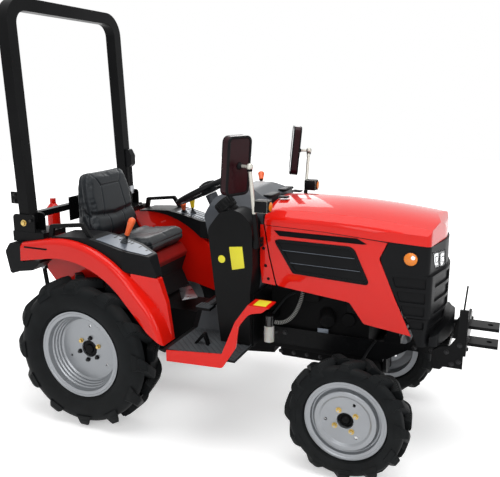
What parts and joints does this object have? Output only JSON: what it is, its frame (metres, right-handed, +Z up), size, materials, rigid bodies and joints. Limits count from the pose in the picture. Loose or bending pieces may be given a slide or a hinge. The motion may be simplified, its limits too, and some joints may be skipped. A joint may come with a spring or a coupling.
{
  "type": "compact tractor",
  "caption": "Compact four-wheel-drive tractor with folding roll bar, hinged hood, steered front wheels, open platform, seat and rear three-point hitch.",
  "frame": {"origin": "on the ground, centred under the tractor's overall length and width", "axes": "+X forward along the hood, +Y to the tractor's left, +Z up"},
  "size_m": [2.6, 1.1876, 2.182],
  "materials": {
    "red_paint": "glossy red paint",
    "red_cover": "dark red paint",
    "black_paint": "satin black paint",
    "black_cast": "black painted casting",
    "black_plastic": "grained black plastic",
    "wheel_silver": "silver grey paint",
    "tyre_rubber": "matt black rubber",
    "seat_vinyl": "dark grey vinyl",
    "mat_rubber": "ribbed grey rubber",
    "lamp_glass": "clear lamp lens",
    "tank_plastic": "black moulded plastic",
    "post_chrome": "polished post",
    "mirror_shell": "dark gloss shell",
    "amber_lens": "amber moulded lens",
    "bare_steel": "bare steel",
    "filter_bowl": "milky bowl"
  },
  "bodies": {
    "root": {"engine_block": "black_cast", "transmission": "black_cast", "rear_axle": "black_cast", "front_frame": "black_paint", "radiator": "black_paint", "front_bracket": "black_paint", "front_axle": "black_cast", "cowl_sides": "red_paint", "fender_right": "red_paint", "fender_left": "red_paint", "fender_consoles": "black_plastic", "grab_handles": "black_paint", "platform": "black_paint", "floor_mat": "mat_rubber", "sills": "red_paint", "seat_base": "red_cover", "seat_cushion": "seat_vinyl", "seat_back": "seat_vinyl", "dash_cowl": "black_plastic", "fuel_tank": "tank_plastic", "rops_base": "black_paint", "rear_lamps": "black_plastic", "mirror_posts": "post_chrome", "mirrors": "mirror_shell", "pedals": "black_paint", "levers": "black_plastic", "fuel_filter": "filter_bowl", "hitch_bracket": "red_cover", "drawbar": "black_paint", "fuel_hose": "tank_plastic", "cab_signals": "amber_lens", "nose_guard": "black_plastic"},
    "hood": {"hood_top": "red_paint", "hood_sides": "red_paint", "grille": "black_plastic", "headlamps": "lamp_glass", "hood_vents": "black_plastic", "hood_signals": "amber_lens"},
    "rops_hoop": {"rops_hoop": "black_paint", "belt_reel": "black_plastic"},
    "steering_wheel": {"steering_wheel": "black_plastic"},
    "knuckle_left": {"knuckle_left": "black_cast"},
    "knuckle_right": {"knuckle_right": "black_cast"},
    "front_wheel_left": {"front_rim_left": "wheel_silver", "front_tyre_left": "tyre_rubber"},
    "front_wheel_right": {"front_rim_right": "wheel_silver", "front_tyre_right": "tyre_rubber"},
    "rear_wheel_left": {"rear_rim_left": "wheel_silver", "rear_tyre_left": "tyre_rubber"},
    "rear_wheel_right": {"rear_rim_right": "wheel_silver", "rear_tyre_right": "tyre_rubber"},
    "tie_rod": {"tie_rod": "bare_steel"},
    "lower_links": {"lower_links": "black_cast"},
    "lift_arms": {"lift_arms": "black_cast"},
    "lift_rods": {"lift_rods": "black_cast"},
    "top_link": {"top_link": "red_paint"},
    "pto_shaft": {"pto_shaft": "bare_steel"}
  },
  "joints": [
    {"name": "rear_wheel_left_spin", "type": "hinge", "parent": "root", "child": "rear_wheel_left", "pos_m": [-0.68, 0.486, 0.402], "axis": [0, 1, 0], "continuous": true},
    {"name": "knuckle_left_steer", "type": "hinge", "parent": "root", "child": "knuckle_left", "pos_m": [0.699, 0.345, 0.286], "axis": [0, 0, 1], "range_deg": [-35, 35]},
    {"name": "front_wheel_left_spin", "type": "hinge", "parent": "knuckle_left", "child": "front_wheel_left", "pos_m": [0.699, 0.458, 0.286], "axis": [0, 1, 0], "continuous": true},
    {"name": "rear_wheel_right_spin", "type": "hinge", "parent": "root", "child": "rear_wheel_right", "pos_m": [-0.68, -0.486, 0.402], "axis": [0, 1, 0], "continuous": true},
    {"name": "knuckle_right_steer", "type": "hinge", "parent": "root", "child": "knuckle_right", "pos_m": [0.699, -0.345, 0.286], "axis": [0, 0, 1], "range_deg": [-35, 35]},
    {"name": "front_wheel_right_spin", "type": "hinge", "parent": "knuckle_right", "child": "front_wheel_right", "pos_m": [0.699, -0.458, 0.286], "axis": [0, 1, 0], "continuous": true},
    {"name": "tie_rod_slide", "type": "slide", "parent": "root", "child": "tie_rod", "axis": [0, 1, 0], "range_m": [-0.07, 0.07]},
    {"name": "steering_wheel_turn", "type": "hinge", "parent": "root", "child": "steering_wheel", "pos_m": [-0.21, 0, 1.21], "axis": [-0.454, 0, 0.891], "range_deg": [-495, 495]},
    {"name": "hood_open", "type": "hinge", "parent": "root", "child": "hood", "pos_m": [0.225, 0, 1.206], "axis": [0, -1, 0], "range_deg": [0, 55]},
    {"name": "hoop_fold", "type": "hinge", "parent": "root", "child": "rops_hoop", "pos_m": [-1.041, 0, 1.05], "axis": [0, -1, 0], "range_deg": [0, 92]},
    {"name": "lower_links_lift", "type": "hinge", "parent": "root", "child": "lower_links", "pos_m": [-0.775, 0, 0.3], "axis": [0, 1, 0], "range_deg": [-20, 25]},
    {"name": "lift_arms_turn", "type": "hinge", "parent": "root", "child": "lift_arms", "pos_m": [-0.83, 0, 0.7], "axis": [0, 1, 0], "range_deg": [-20, 25]},
    {"name": "lift_rods_hang", "type": "hinge", "parent": "lift_arms", "child": "lift_rods", "pos_m": [-1.1142, 0, 0.758], "axis": [0, 1, 0], "range_deg": [-25, 20]},
    {"name": "top_link_swing", "type": "hinge", "parent": "root", "child": "top_link", "pos_m": [-1.215, 0, 0.65], "axis": [0, -1, 0], "range_deg": [0, 95]},
    {"name": "pto_spin", "type": "hinge", "parent": "root", "child": "pto_shaft", "pos_m": [-0.83, 0, 0.45], "axis": [1, 0, 0], "continuous": true}
  ],
  "couplings": [
    {"joint": "knuckle_right_steer", "follows": "knuckle_left_steer", "ratio": 1},
    {"joint": "tie_rod_slide", "follows": "knuckle_left_steer", "m_per_rad": -0.1127},
    {"joint": "steering_wheel_turn", "follows": "knuckle_left_steer", "ratio": 14},
    {"joint": "lift_arms_turn", "follows": "lower_links_lift", "ratio": 1},
    {"joint": "lift_rods_hang", "follows": "lower_links_lift", "ratio": -1}
  ]
}
